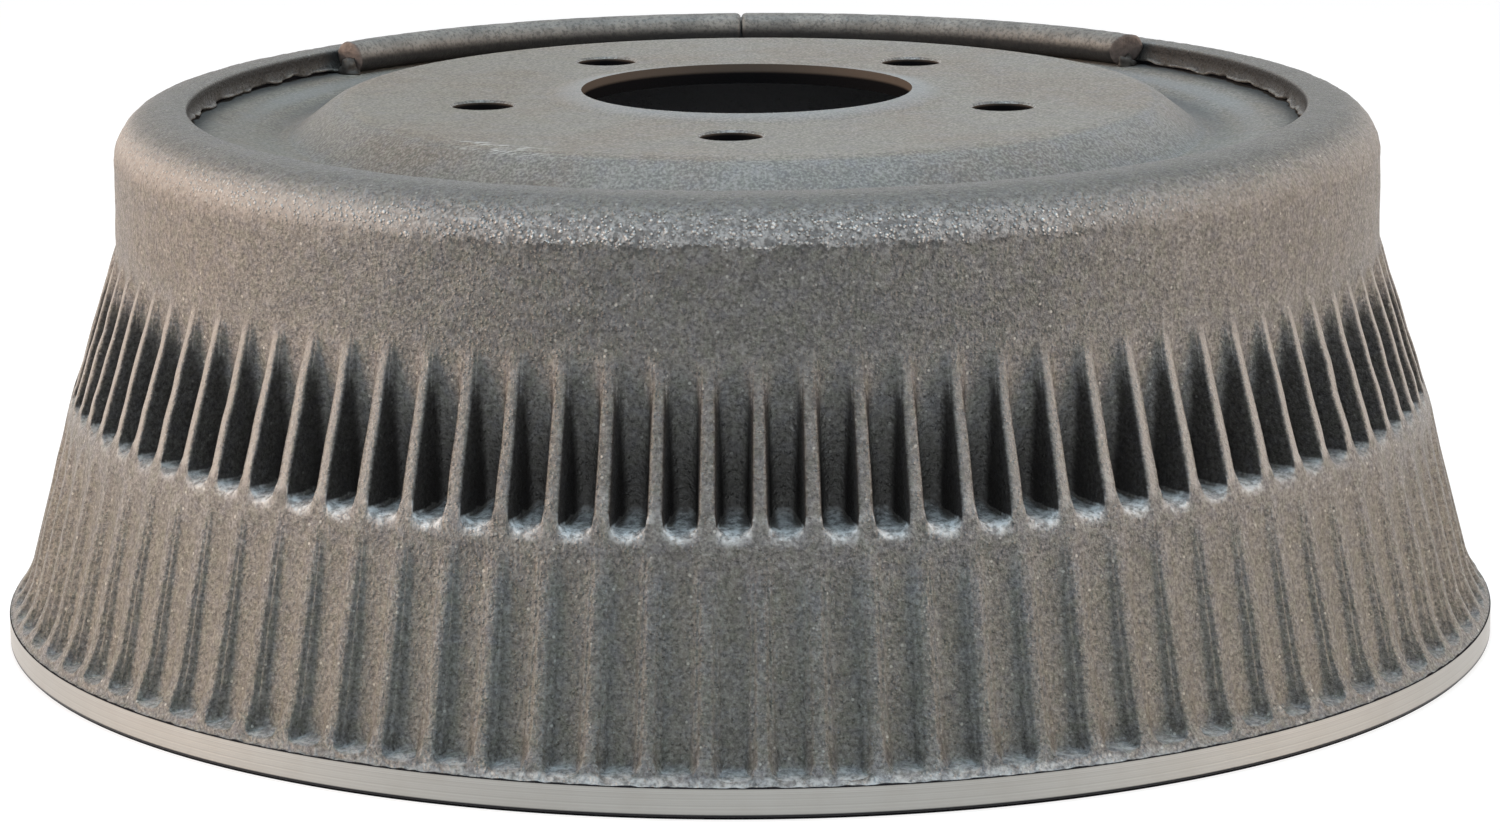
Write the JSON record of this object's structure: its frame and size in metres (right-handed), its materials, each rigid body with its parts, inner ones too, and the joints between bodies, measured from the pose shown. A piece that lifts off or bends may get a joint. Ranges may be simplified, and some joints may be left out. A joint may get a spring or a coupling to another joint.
{
  "type": "brake drum",
  "caption": "Composite brake drum: finned cast-iron ring with a pressed-steel web, pilot bore, stud holes and two curved balance rods in the rim recess.",
  "frame": {"origin": "centre of the open face, on the drum's axis, where the drum rests", "axes": "+Z along the drum's axis from the open face to the wheel face; -Y through the stud hole nearest the viewer"},
  "size_m": [0.3527, 0.3528, 0.1274],
  "materials": {
    "cast_ring": "sand-cast skin with a machined band and friction surface",
    "web_steel": "shot-blasted pressed steel sheet, matt grey",
    "rod_steel": "bare round bar, scaled, with brown sheared ends",
    "weld_metal": "dull oxidised weld"
  },
  "bodies": {
    "root": {"drum_ring": "cast_ring", "web_disc": "web_steel", "balance_rod_left": "rod_steel", "balance_rod_right": "rod_steel", "tack_weld_left": "weld_metal", "tack_weld_right": "weld_metal"}
  },
  "joints": []
}
